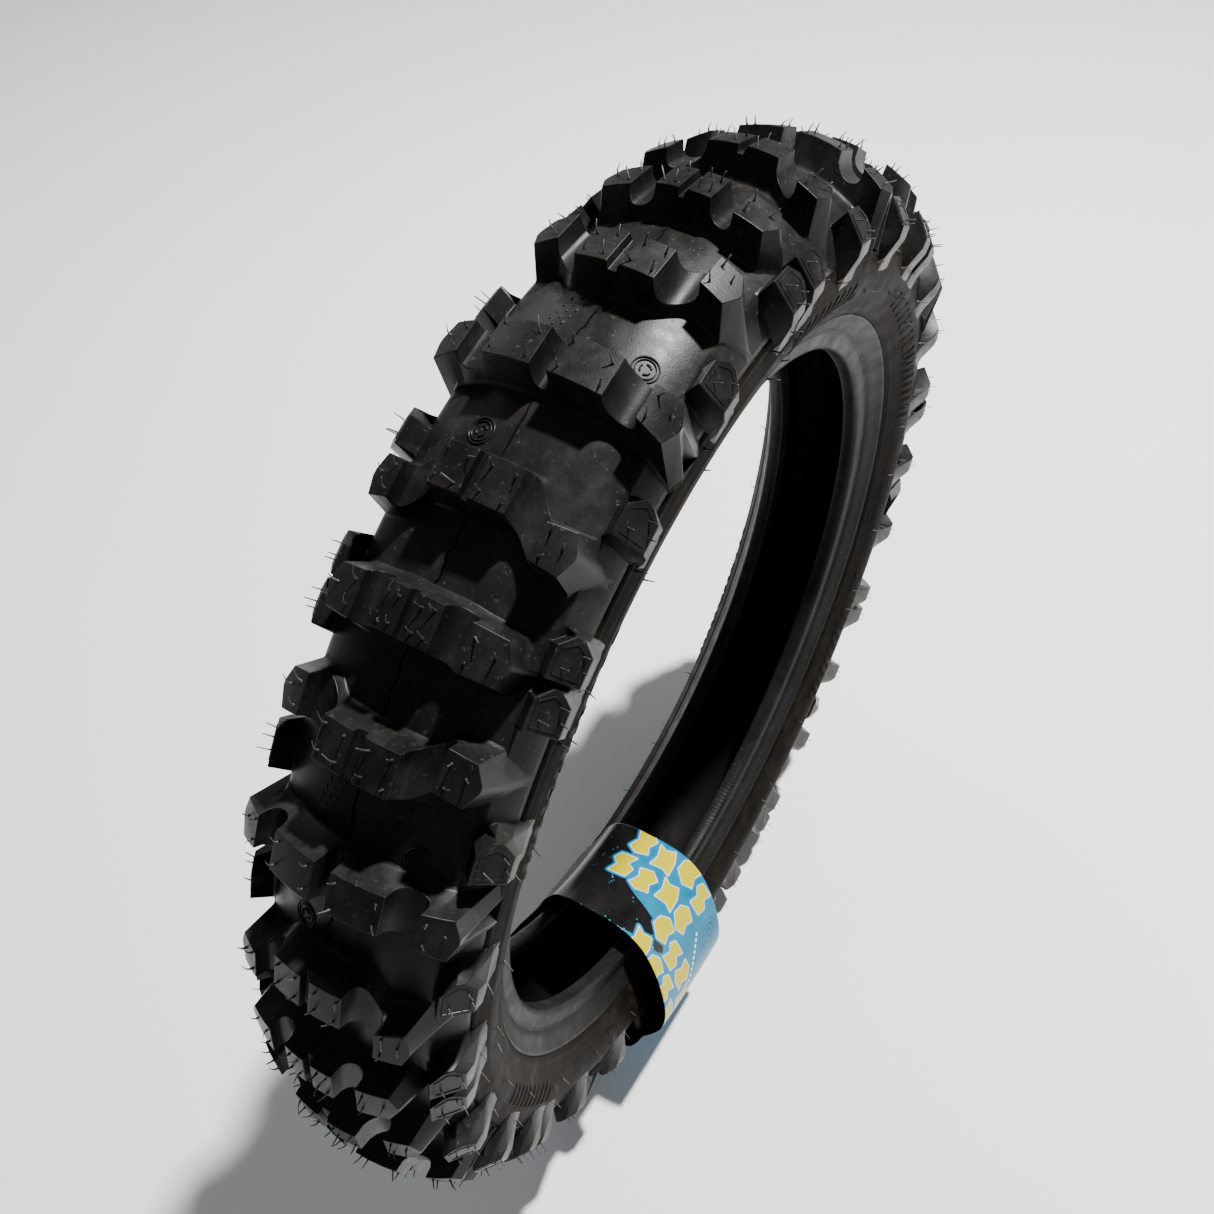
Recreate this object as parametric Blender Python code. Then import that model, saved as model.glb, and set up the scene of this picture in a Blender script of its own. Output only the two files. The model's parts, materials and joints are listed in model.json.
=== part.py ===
"""Knobbly motocross rear tyre with its paper wrap band, one object for each layer it is built from.

The wheel's axis is Y and the origin is its centre. Cross-sections are lists of (y, r) points,
with r measured from the axis, and every ring is the same regular polygon seen from the side,
so that nested layers keep an even gap all the way round.
"""
import math

import bmesh
import bpy
from mathutils import Matrix

# Driving dimensions, in metres and degrees
CROWN_RADIUS = 0.338      # axis to the top of the middle knobs
KNOB_HEIGHT = 0.016
KNOB_ARC = 0.100          # radius of the arc that the knob tops follow across the tread
ROWS = 36                 # one row of knobs on each flat of the polygon
FIRST_ROW = 75.0          # angle of the first row, measured from +X towards +Z
ROW_LENGTH = 3.3          # angle that a knob covers along the tread
DRAFT = 0.0022            # how far a knob's foot stands out past its top
SINK = 0.0013             # how deep a knob's foot is sunk in the undertread
GAP = 0.0003              # clearance between neighbouring pieces

UNDERTREAD = 0.0026
BREAKER = 0.0007          # cushion and breaker thickness
PLY = 0.0008
LINER = 0.0010
FLIPPER = 0.0005
CHAFER = 0.0010

TOE_RADIUS = 0.2276       # inside of the bead, for an 18 inch rim
TOE_Y = 0.0236
HEEL_Y = 0.0356
BEAD_TOP = 0.2373
SHOULDER = 0.0565, 0.2970
TREAD_EDGE = 0.0588, 0.2910
SIDEWALL_FOOT = 0.0445, 0.2508
CHAFER_END = 0.0417, 0.2493
CROWN_ENDS = 0.0440       # half width of the cushion and the breakers
SHOULDER_ANGLES = 8.5, 12.5, 24.6, 37.6   # knob pairs on the shoulder, in each group of four rows
SHOULDER_LENGTH = 3.0
SHARP = 40.0              # angle between faces, in degrees, past which a round piece keeps a hard edge

BAND_WIDTH = 0.096
BAND_THICKNESS = 0.0006
BAND_ANGLE = -111.1
BAND_STEPS = 4

STEP = 360.0 / ROWS
ARC_CENTRE = CROWN_RADIUS - KNOB_ARC
PLY_DEPTH = UNDERTREAD + 3 * BREAKER + 4 * GAP + PLY / 2   # undertread face to the outer ply's middle

# Half a row of knobs: (y, drop below the knob tops, angle ahead of the row's middle, length ratio)
NARROW_GROOVE = 0.0010, 0.0040, 0.0, 1.0
ROW_TYPES = (
    # long ramp to a side knob that sits ahead of the row
    (NARROW_GROOVE, (0.0024, 0.0, 0.0, 1.0), (0.0185, 0.0, 0.0, 1.0), (0.0230, 0.0100, 0.4, 1.0),
     (0.0290, 0.0100, 1.6, 1.0), (0.0335, 0.0, 2.2, 0.95), (0.0450, 0.0, 2.2, 0.95),
     (0.0481, 0.0, 2.2, 0.1)),
    # straight bar with side knobs in line
    (NARROW_GROOVE, (0.0022, 0.0, 0.0, 1.0), (0.0136, 0.0, 0.0, 1.0), (0.0175, 0.0085, 0.0, 1.0),
     (0.0215, 0.0085, 0.0, 1.0), (0.0254, 0.0, 0.0, 1.0), (0.0400, 0.0, 0.0, 1.0), (0.0440, 0.0, 0.0, 0.1)),
    # wide middle pair, side knob behind the row
    (NARROW_GROOVE, (0.0030, 0.0, 0.0, 1.0), (0.0190, 0.0, 0.0, 1.0), (0.0230, 0.0110, -0.4, 1.0),
     (0.0300, 0.0110, -1.3, 1.0), (0.0343, 0.0, -1.9, 0.97), (0.0457, 0.0, -1.9, 0.97),
     (0.0497, 0.0, -1.9, 0.1)),
    # middle pair split by a wide groove
    ((0.0015, 0.0120, 0.0, 1.0), (0.0042, 0.0, 0.0, 1.0), (0.0285, 0.0, 0.0, 1.0),
     (0.0330, 0.0090, 0.0, 1.0), (0.0385, 0.0090, 0.0, 1.0), (0.0426, 0.0, 0.2, 0.97),
     (0.0546, 0.0, 0.2, 0.97), (0.0579, 0.0, 0.2, 0.1)),
)

# Half of the wrap band's loop round the tyre's section, from the tread to the opening
BAND_HALF = ((0.0, 0.3400), (0.025, 0.3369), (0.045, 0.3294), (0.060, 0.3206), (0.071, 0.3060),
             (0.078, 0.2860), (0.0775, 0.2650), (0.066, 0.2380), (0.046, 0.2140), (0.018, 0.2055))


def clear_scene():
    for obj in list(bpy.data.objects):
        bpy.data.objects.remove(obj)


def material(name, colour, roughness, metallic=0.0):
    mat = bpy.data.materials.new(name)
    mat.use_nodes = True
    shader = mat.node_tree.nodes["Principled BSDF"]
    shader.inputs["Base Color"].default_value = (*colour, 1.0)
    shader.inputs["Roughness"].default_value = roughness
    shader.inputs["Metallic"].default_value = metallic
    return mat


def add_object(name, bm, mat):
    """Close the bmesh off as a named object with outward faces."""
    bmesh.ops.remove_doubles(bm, verts=bm.verts, dist=0.00001)
    bmesh.ops.recalc_face_normals(bm, faces=bm.faces)
    mesh = bpy.data.meshes.new(name)
    bm.to_mesh(mesh)
    bm.free()
    obj = bpy.data.objects.new(name, mesh)
    obj.data.materials.append(mat)
    bpy.context.scene.collection.objects.link(obj)
    return obj


def shade_round(obj):
    """Smooth shading round the piece, with its real corners left hard."""
    obj.data.shade_smooth()
    obj.data.set_sharp_from_angle(angle=math.radians(SHARP))
    return obj


def at_radius(line, r):
    """Point of the line at radius r, on its +Y side."""
    for (y0, r0), (y1, r1) in zip(line, line[1:]):
        if y0 > 0.0 and (r0 - r) * (r1 - r) <= 0.0:
            return y0 + (y1 - y0) * (r - r0) / (r1 - r0), r
    return line[-1]


def place(y, r, degrees):
    angle = math.radians(degrees)
    return r * math.cos(angle), y, r * math.sin(angle)


def arc(y, depth):
    """Radius of the arc across the tread at y, depth below the knob tops."""
    return ARC_CENTRE + math.sqrt((KNOB_ARC - depth) ** 2 - y ** 2)


def mirrored(points):
    """A line across the section, from the -Y end to the +Y end, out of its +Y half."""
    left = [(-y, r) for y, r in reversed(points) if y > 0.0]
    return left + list(points)


def offset(line, distance):
    """The line moved sideways by distance, outwards where it is positive, with mitred corners."""
    moved = []
    for i, (y, r) in enumerate(line):
        normals = []
        for (y0, r0), (y1, r1) in zip(line[max(i - 1, 0):i + 1], line[max(i, 1):i + 2]):
            length = math.hypot(y1 - y0, r1 - r0)
            normals.append(((r0 - r1) / length, (y1 - y0) / length))
        if len(normals) == 1:
            normals.append(normals[0])
        ny = normals[0][0] + normals[1][0]
        nr = normals[0][1] + normals[1][1]
        scale = 2.0 * distance / (ny ** 2 + nr ** 2)
        moved.append((y + ny * scale, r + nr * scale))
    return moved


def strip(line, inner, outer):
    """Closed outline of a layer between two distances from the line."""
    return offset(line, outer) + offset(line, inner)[::-1]


def ring(name, outline, mat):
    """Turn a closed outline round the wheel's axis."""
    bm = bmesh.new()
    verts = [bm.verts.new(place(y, r, 0.0)) for y, r in outline]
    edges = [bm.edges.new((a, b)) for a, b in zip(verts, verts[1:] + verts[:1])]
    bmesh.ops.spin(bm, geom=verts + edges, cent=(0, 0, 0), axis=(0, 1, 0),
                   angle=math.tau, steps=ROWS, use_merge=True)
    return shade_round(add_object(name, bm, mat))


def pair(name, outline, mat):
    """The same ring on the left and the right of the tyre."""
    ring(name + "_left", outline, mat)
    ring(name + "_right", [(-y, r) for y, r in outline], mat)


# Lines that the layers follow, as +Y halves
def ply_half():
    crown = [(y, arc(y, KNOB_HEIGHT + PLY_DEPTH)) for y in (0.0, 0.030, 0.050)]
    return crown + [(0.0558, 0.282), (0.0485, 0.262)]


def bead_foot():
    """Line of the outer ply down the outer side of the bead."""
    y = HEEL_Y - CHAFER - GAP - PLY / 2
    return [(y, 0.240), (y, TOE_RADIUS + CHAFER + 2 * GAP)]


def inner_ply_half():
    return offset(mirrored(ply_half()), -PLY - GAP)[len(ply_half()) - 1:]


def hook(y_in, y_out, r_bottom, r_in, r_out):
    """Three sides of a box round the bead, from its inner side to its outer side."""
    return [(y_in, r_in), (y_in, r_bottom), (y_out, r_bottom), (y_out, r_out)]


def undertread_face(y):
    """Radius of the undertread's outline at y."""
    line = undertread_half()
    for (y0, r0), (y1, r1) in zip(line, line[1:]):
        if abs(y) <= y1:
            return r0 + (r1 - r0) * (abs(y) - y0) / (y1 - y0)
    return line[-1][1]


def undertread_half():
    return [(y, arc(y, KNOB_HEIGHT)) for y in (0.0, 0.030, 0.050)] + [SHOULDER, TREAD_EDGE]


def on_polygon(r, degrees):
    """Radius of the ring's flat at an angle, for a corner radius r."""
    half = STEP / 2
    return r * math.cos(math.radians(half)) / math.cos(math.radians(degrees % STEP - half))


def knob_row(bm, row):
    """A bar of knobs right across the tread, lofted through sections at each y."""
    half = ROW_TYPES[row % len(ROW_TYPES)]
    stations = [(-y, drop, ahead, ratio) for y, drop, ahead, ratio in reversed(half)] + list(half)
    middle = FIRST_ROW + STEP * row
    last = len(stations) - 1
    loops = []
    for i, (y, drop, ahead, ratio) in enumerate(stations):
        foot_y = y + math.copysign(DRAFT, y) if i in (0, last) else y
        top = arc(y, drop)
        foot = undertread_face(foot_y) - SINK
        reach = ROW_LENGTH / 2 * ratio
        foot_reach = reach + math.degrees(DRAFT / top)
        back, front = middle + ahead - reach, middle + ahead + reach
        foot_back, foot_front = middle + ahead - foot_reach, middle + ahead + foot_reach
        corners = [place(foot_y, on_polygon(foot, foot_back), foot_back), place(y, top, back),
                   place(y, top, front), place(foot_y, on_polygon(foot, foot_front), foot_front)]
        loops.append([bm.verts.new(c) for c in corners])
    for near, far in zip(loops, loops[1:]):
        for k in range(4):
            bm.faces.new((near[k], near[(k + 1) % 4], far[(k + 1) % 4], far[k]))
    bm.faces.new(loops[0])
    bm.faces.new(loops[-1])


def shoulder_section(side):
    """Outline of a shoulder knob, standing on the tread's edge."""
    root_y, root_r = TREAD_EDGE
    outline = [(0.049, undertread_face(0.049) - SINK), (0.0505, 0.3165), (0.0615, 0.3035),
               (0.0635, 0.2980), (root_y - SINK, root_r + 0.001), (root_y - 0.003, root_r + 0.004)]
    return [(side * y, r) for y, r in outline]


def shoulder_knob(bm, middle, side):
    rims = []
    for direction in (-1, 1):
        rim = []
        for y, r in shoulder_section(side):
            foot = r < undertread_face(y) or abs(y) > TREAD_EDGE[0] - SINK and r < 0.295
            flare = math.degrees(DRAFT / r) if foot else 0.0
            degrees = middle + direction * (SHOULDER_LENGTH / 2 + flare)
            rim.append(bm.verts.new(place(y, on_polygon(r, degrees) if foot else r, degrees)))
        rims.append(rim)
        bm.faces.new(rim)
    for k in range(len(rims[0])):
        following = (k + 1) % len(rims[0])
        bm.faces.new((rims[0][k], rims[0][following], rims[1][following], rims[1][k]))


def knob_set(mat):
    """Every knob in one guide mesh, which the tread takes up in a union."""
    bm = bmesh.new()
    for row in range(ROWS):
        knob_row(bm, row)
    for group in range(ROWS // len(ROW_TYPES)):
        for angle in SHOULDER_ANGLES:
            for side in (-1, 1):
                shoulder_knob(bm, FIRST_ROW + group * len(ROW_TYPES) * STEP + angle, side)
    knobs = add_object("knob_set", bm, mat)
    knobs.hide_render = True
    knobs.display_type = "WIRE"
    return knobs


def build_tread(mat):
    lining = offset(crown_line(CROWN_ENDS + 2 * GAP), crown_level(3) + GAP / 3)[2:]
    ply_face = offset(mirrored(ply_half()), PLY / 2 + GAP)
    corner = ply_face[len(ply_half()) + 1]
    inner = lining + [corner, at_radius(ply_face, TREAD_EDGE[1])]
    tread = ring("tread", mirrored(undertread_half()) + mirrored(inner)[::-1], mat)
    union = tread.modifiers.new("knobs", "BOOLEAN")
    union.operation = "UNION"
    union.solver = "EXACT"
    union.object = knob_set(mat)


def crown_line(end):
    """The outer ply's middle line under the tread, out to a half width."""
    return mirrored([(y, arc(y, KNOB_HEIGHT + PLY_DEPTH)) for y in (0.0, 0.030, end)])


def crown_level(number):
    """Distance from the outer ply's middle to a layer's inner face, counting outwards."""
    return PLY / 2 + GAP + number * (BREAKER + GAP)


def build_crown_layers(cushion_mat, fabric_mat):
    """Cushion gum and two breakers between the outer ply and the undertread."""
    layers = ("breaker_inner", fabric_mat), ("breaker_outer", fabric_mat), ("tread_cushion", cushion_mat)
    for number, (name, mat) in enumerate(layers):
        level = crown_level(number)
        ring(name, strip(crown_line(CROWN_ENDS), level, level + BREAKER), mat)


def build_carcass(fabric_mat, liner_mat):
    outer = mirrored(ply_half() + bead_foot())
    ring("body_ply_outer", strip(outer, -PLY / 2, PLY / 2), fabric_mat)
    y_in = TOE_Y + CHAFER + GAP + PLY / 2
    y_out = HEEL_Y - CHAFER - PLY - 2 * GAP - PLY / 2
    bottom = TOE_RADIUS + CHAFER + GAP + PLY / 2
    turned = mirrored(inner_ply_half() + hook(y_in, y_out, bottom, 0.2392, 0.2420))
    ring("body_ply_inner", strip(turned, -PLY / 2, PLY / 2), fabric_mat)
    lining = mirrored(inner_ply_half() + [(y_in, 0.2410)])
    level = PLY / 2 + GAP
    ring("inner_liner", strip(lining, -level - LINER, -level), liner_mat)


def build_beads(steel, filler_mat, fabric_mat, chafer_mat):
    y_in = TOE_Y + CHAFER + PLY + 2 * GAP
    y_out = HEEL_Y - CHAFER - 2 * PLY - 3 * GAP
    bottom = TOE_RADIUS + CHAFER + PLY + 2 * GAP
    wrap = hook(y_in + FLIPPER / 2, y_out - FLIPPER / 2, bottom + FLIPPER / 2, BEAD_TOP, BEAD_TOP)
    pair("bead_flipper", strip(wrap, -FLIPPER / 2, FLIPPER / 2), fabric_mat)
    clear = FLIPPER + GAP
    wire = [(y_in + clear, bottom + clear), (y_out - clear, bottom + clear),
            (y_out - clear, BEAD_TOP), (y_in + clear, BEAD_TOP)]
    pair("bead_wire", wire, steel)
    foot = BEAD_TOP + GAP
    filler = [(y_in + clear, foot), (y_out - GAP, foot), (y_out - GAP, 0.2424),
              (0.0346, 0.2426), (0.0426, 0.2553), (0.0421, 0.2558), (y_in + clear, foot + 0.0012)]
    pair("bead_filler", filler, filler_mat)
    wrap = hook(TOE_Y + CHAFER / 2, HEEL_Y - CHAFER / 2, TOE_RADIUS + CHAFER / 2, 0.2380, 0.2397)
    pair("chafer", strip(wrap + [CHAFER_END], -CHAFER / 2, CHAFER / 2), chafer_mat)


def build_sidewalls(mat):
    ply_face = offset(mirrored(ply_half() + bead_foot()), PLY / 2 + GAP)
    inner = [at_radius(ply_face, TREAD_EDGE[1] - GAP)]
    inner += [p for p in ply_face if p[0] > 0.0 and SIDEWALL_FOOT[1] < p[1] < TREAD_EDGE[1] - GAP]
    inner += [at_radius(ply_face, SIDEWALL_FOOT[1] + 0.0004)]
    outer = [(TREAD_EDGE[0], TREAD_EDGE[1] - GAP), (0.0593, 0.2820), (0.0520, 0.2620), SIDEWALL_FOOT]
    pair("sidewall", outer + inner[::-1], mat)


def build_band(mat):
    loop = mirrored(BAND_HALF)
    bm = bmesh.new()
    rows = []
    for i in range(BAND_STEPS + 1):
        along = BAND_WIDTH * (i / BAND_STEPS - 0.5)
        row = [bm.verts.new(place(y, r, BAND_ANGLE + math.degrees(along / r))) for y, r in loop]
        rows.append(row)
    for near, far in zip(rows, rows[1:]):
        for k in range(len(loop)):
            following = (k + 1) % len(loop)
            bm.faces.new((near[k], near[following], far[following], far[k]))
    band = shade_round(add_object("wrap_label", bm, mat))
    solid = band.modifiers.new("thickness", "SOLIDIFY")
    solid.thickness = BAND_THICKNESS
    solid.offset = 0.0


def main():
    clear_scene()
    rubber = material("tread_rubber", (0.020, 0.020, 0.021), 0.62)
    side_rubber = material("sidewall_rubber", (0.024, 0.023, 0.022), 0.58)
    cushion = material("cushion_rubber", (0.035, 0.033, 0.031), 0.80)
    fabric = material("ply_fabric", (0.055, 0.048, 0.038), 0.85)
    liner = material("liner_rubber", (0.012, 0.012, 0.013), 0.50)
    chafer = material("bead_rubber", (0.045, 0.046, 0.048), 0.45)
    steel = material("bead_wire", (0.62, 0.50, 0.36), 0.35, 1.0)
    card = material("wrap_card", (0.010, 0.300, 0.420), 0.25)
    build_tread(rubber)
    build_crown_layers(cushion, fabric)
    build_carcass(fabric, liner)
    build_beads(steel, cushion, fabric, chafer)
    build_sidewalls(side_rubber)
    build_band(card)


main()
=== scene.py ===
from collections import namedtuple
import json
import math
import random

import bmesh
import bpy
import numpy as np
from mathutils import Matrix, Vector


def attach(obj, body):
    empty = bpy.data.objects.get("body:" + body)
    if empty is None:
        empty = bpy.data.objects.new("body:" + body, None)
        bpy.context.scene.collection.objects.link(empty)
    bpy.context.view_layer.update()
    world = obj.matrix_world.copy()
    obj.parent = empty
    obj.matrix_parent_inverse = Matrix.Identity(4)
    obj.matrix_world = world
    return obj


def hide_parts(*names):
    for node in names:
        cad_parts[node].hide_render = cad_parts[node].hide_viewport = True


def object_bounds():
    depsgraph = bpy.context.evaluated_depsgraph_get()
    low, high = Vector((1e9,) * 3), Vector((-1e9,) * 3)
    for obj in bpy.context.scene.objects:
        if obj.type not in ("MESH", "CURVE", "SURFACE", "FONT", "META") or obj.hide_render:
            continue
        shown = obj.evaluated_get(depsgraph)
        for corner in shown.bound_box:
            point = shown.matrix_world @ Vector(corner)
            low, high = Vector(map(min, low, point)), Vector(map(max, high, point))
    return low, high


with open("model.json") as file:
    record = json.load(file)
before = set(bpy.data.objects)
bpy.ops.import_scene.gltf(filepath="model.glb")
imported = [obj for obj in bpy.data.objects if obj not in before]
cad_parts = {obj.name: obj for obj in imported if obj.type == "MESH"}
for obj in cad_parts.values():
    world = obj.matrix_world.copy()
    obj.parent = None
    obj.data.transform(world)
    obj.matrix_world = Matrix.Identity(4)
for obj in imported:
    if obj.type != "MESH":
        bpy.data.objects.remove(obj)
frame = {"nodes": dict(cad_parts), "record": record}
CAD_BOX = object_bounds()

# An off-road rear tyre with the printed band round its section. Lengths are in metres and angles
# in degrees. y runs along the axle, r is the distance from it, and an angle goes from +X to +Z.
CROWN = 0.338               # tops of the middle knobs
KNOB = 0.016                # height of a knob
ARC = 0.100                 # radius of the arc that the knob tops follow across the tread
CENTRE = CROWN - ARC
ROWS = 36
STEP = 360.0 / ROWS
FIRST_ROW = 75.0
PATTERN = 40.0              # four rows, after which the pattern repeats
SHOULDER_ANGLES = 8.5, 12.5, 24.6, 37.6   # shoulder knobs of a pattern, from its first row
DRAFT = 0.0030              # how far a knob's foot stands out past its top
ROUND = 720                 # steps round the tyre
DRAWS = random.Random(7)


# Small helpers

def arc_r(y, drop):
    """Radius at y of the arc that lies drop below the knob tops."""
    return CENTRE + math.sqrt(max((ARC - drop) ** 2 - y * y, 1e-9))


def at(y, r, degrees):
    a = math.radians(degrees)
    return Vector((r * math.cos(a), y, r * math.sin(a)))


def ground(y):
    """Radius of the undertread, which turns down into the sidewall at the shoulder."""
    y = abs(y)
    for (y0, r0), (y1, r1) in zip(SKIN, SKIN[1:]):
        if y <= y1:
            return r0 + (r1 - r0) * (y - y0) / (y1 - y0)
    return SKIN[-1][1]


def side_y(r):
    """Half width of the sidewall's outside at radius r."""
    for (y0, r0), (y1, r1) in zip(SIDE, SIDE[1:]):
        if r1 <= r <= r0:
            return y0 + (y1 - y0) * (r - r0) / (r1 - r0)
    return SIDE[0][0] if r > SIDE[0][1] else SIDE[-1][0]


def shoulder_places():
    """Angle and side of every shoulder knob."""
    for group in range(ROWS // 4):
        for angle in SHOULDER_ANGLES:
            for side in (-1, 1):
                yield FIRST_ROW + group * PATTERN + angle, side


def smooth_step(t):
    t = min(max(t, 0.0), 1.0)
    return t * t * (3.0 - 2.0 * t)


def make(name, verts, faces, mat, smooth=True):
    mesh = bpy.data.meshes.new(name)
    mesh.from_pydata([tuple(v) for v in verts], [], faces)
    mesh.validate()
    mesh.materials.append(mat)
    if smooth:
        mesh.polygons.foreach_set("use_smooth", [True] * len(mesh.polygons))
    obj = bpy.data.objects.new(name, mesh)
    bpy.context.scene.collection.objects.link(obj)
    return obj


def outward(obj):
    bm = bmesh.new()
    bm.from_mesh(obj.data)
    bmesh.ops.recalc_face_normals(bm, faces=bm.faces)
    bm.to_mesh(obj.data)
    bm.free()
    return obj


def bevelled(obj, width, angle):
    """Round off the edges that turn by more than angle."""
    mod = obj.modifiers.new("edge", "BEVEL")
    mod.width = width
    mod.segments = 2
    mod.limit_method = "ANGLE"
    mod.angle_limit = math.radians(angle)
    mod.harden_normals = True
    return obj


def curve_through(points, count):
    """Even points along a smooth line through the given ones."""
    p = np.array(points, float)
    gaps = np.hypot(*np.diff(p, axis=0).T)
    t = np.concatenate([[0.0], np.cumsum(gaps)])
    slope = np.gradient(p, t, axis=0)
    out = []
    for s in np.linspace(0.0, t[-1], count):
        k = min(max(int(np.searchsorted(t, s)) - 1, 0), len(t) - 2)
        h = t[k + 1] - t[k]
        u = (s - t[k]) / h
        a = (2 * u ** 3 - 3 * u ** 2 + 1) * p[k] + (u ** 3 - 2 * u ** 2 + u) * h * slope[k]
        b = (3 * u ** 2 - 2 * u ** 3) * p[k + 1] + (u ** 3 - u ** 2) * h * slope[k + 1]
        out.append(tuple(a + b))
    return out


def lathe(name, outline, mat, steps=ROUND, change=None):
    """Closed outline turned round the axle. change gives (y, r) from (y, r, point, angle)."""
    verts = []
    n = len(outline)
    for i in range(steps):
        degrees = 360.0 * i / steps
        for k, (y, r) in enumerate(outline):
            if change:
                y, r = change(y, r, k, degrees)
            verts.append(at(y, r, degrees))
    faces = []
    for i in range(steps):
        j = (i + 1) % steps
        for k in range(n):
            m = (k + 1) % n
            faces.append((i * n + k, i * n + m, j * n + m, j * n + k))
    return outward(make(name, verts, faces, mat))


def loft(verts, faces, loops):
    """Closed skin over a list of loops with as many points each."""
    start = len(verts)
    n = len(loops[0])
    for loop in loops:
        verts.extend(loop)
    for i in range(len(loops) - 1):
        for k in range(n):
            m = (k + 1) % n
            a, b = start + i * n, start + (i + 1) * n
            faces.append((a + k, a + m, b + m, b + k))
    faces.append(tuple(start + k for k in range(n)))
    faces.append(tuple(start + (len(loops) - 1) * n + k for k in reversed(range(n))))


def mirrored(points):
    return [(-y, r) for y, r in reversed(points) if y > 0.0] + list(points)


def mixed(a, b, t):
    return [(y0 + (y1 - y0) * t, r0 + (r1 - r0) * t) for (y0, r0), (y1, r1) in zip(a, b)]


# Materials

BLOOM, SMEAR, SPECKS, GRAIN = 22.0, 75.0, 420.0, 900.0   # noise scales of moulded rubber


def new_material(name):
    mat = bpy.data.materials.new(name)
    mat.use_nodes = True
    nodes = mat.node_tree.nodes
    return mat, nodes, mat.node_tree.links, nodes["Principled BSDF"]


def noise(nodes, links, vector, scale, detail=4.0, rough=0.55):
    n = nodes.new("ShaderNodeTexNoise")
    n.inputs["Scale"].default_value = scale
    n.inputs["Detail"].default_value = detail
    n.inputs["Roughness"].default_value = rough
    links.new(vector, n.inputs["Vector"])
    return n.outputs["Fac"]


def ramp(nodes, links, fac, *stops):
    node = nodes.new("ShaderNodeValToRGB")
    links.new(fac, node.inputs["Fac"])
    ends = node.color_ramp.elements
    while len(ends) < len(stops):
        ends.new(0.5)
    for end, (place, value) in zip(ends, stops):
        end.position = place
        end.color = (*value, 1.0) if isinstance(value, tuple) else (value, value, value, 1.0)
    return node.outputs["Color"]


def mix(nodes, links, fac, a, b):
    node = nodes.new("ShaderNodeMix")
    node.data_type = "RGBA"
    for socket, value in ((node.inputs[0], fac), (node.inputs[6], a), (node.inputs[7], b)):
        if isinstance(value, (int, float)):
            socket.default_value = value
        elif isinstance(value, tuple):
            socket.default_value = (*value, 1.0)
        else:
            links.new(value, socket)
    return node.outputs[2]


def maths(nodes, links, kind, a, b=0.0):
    node = nodes.new("ShaderNodeMath")
    node.operation = kind
    for socket, value in zip(node.inputs, (a, b)):
        if isinstance(value, (int, float)):
            socket.default_value = value
        else:
            links.new(value, socket)
    return node.outputs[0]


def bump(nodes, links, shader, height, strength, distance):
    node = nodes.new("ShaderNodeBump")
    node.inputs["Strength"].default_value = strength
    node.inputs["Distance"].default_value = distance
    links.new(height, node.inputs["Height"])
    links.new(node.outputs["Normal"], shader.inputs["Normal"])


def object_vector(nodes):
    return nodes.new("ShaderNodeTexCoord").outputs["Object"]


def rubber(name, dark, light, dust, dust_amount, rough, specular):
    """Moulded rubber: cloudy grey bloom, fine specks and dust that lies in patches."""
    mat, nodes, links, shader = new_material(name)
    vector = object_vector(nodes)
    cloud = noise(nodes, links, vector, BLOOM, 5.0, 0.6)
    fine = noise(nodes, links, vector, GRAIN, 3.0, 0.7)
    smear = noise(nodes, links, vector, SMEAR, 6.0, 0.65)
    specks = noise(nodes, links, vector, SPECKS, 2.0, 0.5)
    base = ramp(nodes, links, cloud, (0.30, dark), (0.72, light))
    speck = ramp(nodes, links, specks, (0.66, 0.0), (0.74, 1.0))
    base = mix(nodes, links, maths(nodes, links, "MULTIPLY", speck, 0.35), base, dust)
    patch = ramp(nodes, links, smear, (0.48, 0.0), (0.78, dust_amount))
    links.new(mix(nodes, links, patch, base, dust), shader.inputs["Base Color"])
    gloss = ramp(nodes, links, smear, (0.3, rough - 0.10), (0.7, rough + 0.12))
    links.new(gloss, shader.inputs["Roughness"])
    shader.inputs["Specular IOR Level"].default_value = specular
    grain = maths(nodes, links, "ADD", fine, maths(nodes, links, "MULTIPLY", smear, 0.8))
    bump(nodes, links, shader, grain, 0.16, 0.0004)
    return mat


def plain(name, colour, second, rough, metallic=0.0, scale=60.0):
    """Material of a sealed-in or small piece, with colour variation and a fine bump."""
    mat, nodes, links, shader = new_material(name)
    vector = object_vector(nodes)
    cloud = noise(nodes, links, vector, scale, 5.0, 0.6)
    base = ramp(nodes, links, cloud, (0.35, colour), (0.68, second))
    gloss = ramp(nodes, links, cloud, (0.3, rough), (0.8, rough + 0.15))
    links.new(base, shader.inputs["Base Color"])
    links.new(gloss, shader.inputs["Roughness"])
    shader.inputs["Metallic"].default_value = metallic
    bump(nodes, links, shader, noise(nodes, links, vector, scale * 12.0), 0.3, 0.0003)
    return mat


# Profiles: half sections as (y, r)

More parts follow.
